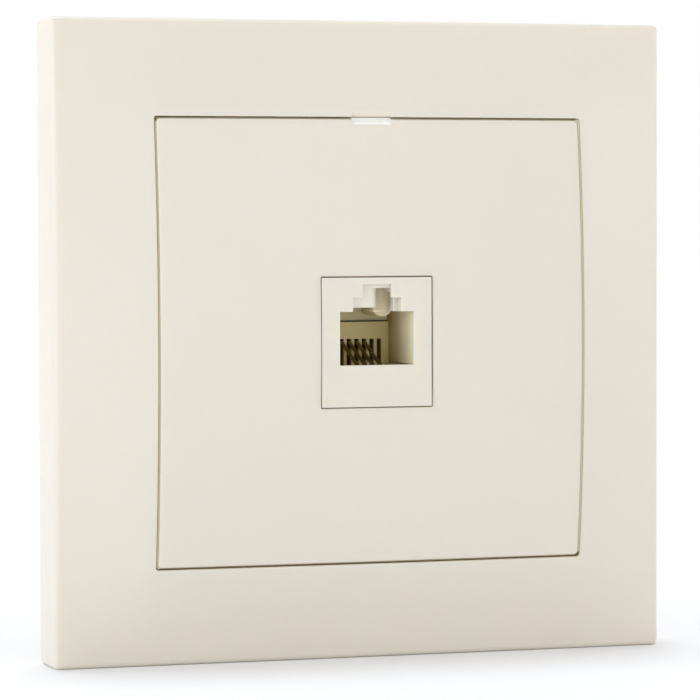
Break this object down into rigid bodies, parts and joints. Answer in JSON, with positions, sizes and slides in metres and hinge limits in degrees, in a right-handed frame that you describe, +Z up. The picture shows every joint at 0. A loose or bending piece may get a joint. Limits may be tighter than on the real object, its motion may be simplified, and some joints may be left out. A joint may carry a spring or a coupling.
{
  "type": "flush telephone outlet with wall plate cover",
  "caption": "Square ivory wall plate cover with a sloping surround frame, a domed centre plate and a keystone telephone jack, on a steel support plate with spreading claws.",
  "frame": {"origin": "middle of the support plate's back, between the wall box's screws, on the wall's surface", "axes": "+X to the right seen from the room, +Y into the wall, +Z up"},
  "size_m": [0.0812, 0.0332, 0.0812],
  "materials": {
    "ivory": "satin moulded",
    "ivory_insert": "satin moulded",
    "white_plastic": "matte moulded",
    "galvanised_steel": "galvanised",
    "rivet_steel": "zinc plated",
    "zinc_plated_steel": "bright zinc plated",
    "gold_plated_wire": "gold plated",
    "tinned_blade": "tin plated",
    "circuit_board": "green solder mask"
  },
  "bodies": {
    "chassis": {"support_plate": "galvanised_steel", "keystone_holder": "white_plastic", "holder_rivets": "rivet_steel", "claw_pin_left": "rivet_steel", "claw_pin_right": "rivet_steel"},
    "frame": {"surround_frame": "ivory"},
    "plate": {"centre_plate": "ivory"},
    "jack": {"jack_housing": "ivory_insert", "contact_comb": "ivory_insert", "circuit_board": "circuit_board", "idc_block": "white_plastic", "idc_blade_1": "tinned_blade", "idc_blade_2": "tinned_blade", "idc_blade_3": "tinned_blade", "idc_blade_4": "tinned_blade"},
    "cap": {"idc_cap": "white_plastic"},
    "contact_1": {"contact_wire_1": "gold_plated_wire"},
    "contact_2": {"contact_wire_2": "gold_plated_wire"},
    "contact_3": {"contact_wire_3": "gold_plated_wire"},
    "contact_4": {"contact_wire_4": "gold_plated_wire"},
    "screw_left": {"claw_screw_left": "zinc_plated_steel"},
    "nut_left": {"claw_nut_left": "zinc_plated_steel"},
    "claw_left": {"claw_left": "galvanised_steel"},
    "screw_right": {"claw_screw_right": "zinc_plated_steel"},
    "nut_right": {"claw_nut_right": "zinc_plated_steel"},
    "claw_right": {"claw_right": "galvanised_steel"}
  },
  "joints": [
    {"name": "frame_pull", "type": "slide", "parent": "chassis", "child": "frame", "axis": [0, -1, 0], "range_m": [0, 0.03]},
    {"name": "plate_pull", "type": "slide", "parent": "frame", "child": "plate", "axis": [0, -1, 0], "range_m": [0, 0.025]},
    {"name": "jack_release", "type": "slide", "parent": "chassis", "child": "jack", "axis": [0, 1, 0], "range_m": [0, 0.03]},
    {"name": "cap_lift", "type": "slide", "parent": "jack", "child": "cap", "axis": [0, 0, 1], "range_m": [0, 0.008]},
    {"name": "contact_1_press", "type": "hinge", "parent": "jack", "child": "contact_1", "pos_m": [-0.00153, -0.0113, -0.00545], "axis": [-1, 0, 0], "range_deg": [0, 7], "stiffness_Nm_per_rad": 0.04},
    {"name": "contact_2_press", "type": "hinge", "parent": "jack", "child": "contact_2", "pos_m": [-0.00051, -0.0113, -0.00545], "axis": [-1, 0, 0], "range_deg": [0, 7], "stiffness_Nm_per_rad": 0.04},
    {"name": "contact_3_press", "type": "hinge", "parent": "jack", "child": "contact_3", "pos_m": [0.00051, -0.0113, -0.00545], "axis": [-1, 0, 0], "range_deg": [0, 7], "stiffness_Nm_per_rad": 0.04},
    {"name": "contact_4_press", "type": "hinge", "parent": "jack", "child": "contact_4", "pos_m": [0.00153, -0.0113, -0.00545], "axis": [-1, 0, 0], "range_deg": [0, 7], "stiffness_Nm_per_rad": 0.04},
    {"name": "screw_left_turn", "type": "hinge", "parent": "chassis", "child": "screw_left", "pos_m": [-0.0225, 0, 0], "axis": [0, 1, 0], "range_deg": [0, 1540]},
    {"name": "nut_left_travel", "type": "slide", "parent": "chassis", "child": "nut_left", "axis": [0, -1, 0], "range_m": [0, 0.00214]},
    {"name": "claw_left_spread", "type": "hinge", "parent": "chassis", "child": "claw_left", "pos_m": [-0.015, 0.007, 0], "axis": [0, 0, 1], "range_deg": [0, 25.8]},
    {"name": "screw_right_turn", "type": "hinge", "parent": "chassis", "child": "screw_right", "pos_m": [0.0225, 0, 0], "axis": [0, 1, 0], "range_deg": [0, 1540]},
    {"name": "nut_right_travel", "type": "slide", "parent": "chassis", "child": "nut_right", "axis": [0, -1, 0], "range_m": [0, 0.00214]},
    {"name": "claw_right_spread", "type": "hinge", "parent": "chassis", "child": "claw_right", "pos_m": [0.015, 0.007, 0], "axis": [0, 0, -1], "range_deg": [0, 25.8]}
  ],
  "couplings": [
    {"joint": "nut_left_travel", "follows": "claw_left_spread", "m_per_rad": 0.00475},
    {"joint": "screw_left_turn", "follows": "claw_left_spread", "ratio": 59.69},
    {"joint": "nut_right_travel", "follows": "claw_right_spread", "m_per_rad": 0.00475},
    {"joint": "screw_right_turn", "follows": "claw_right_spread", "ratio": 59.69}
  ]
}
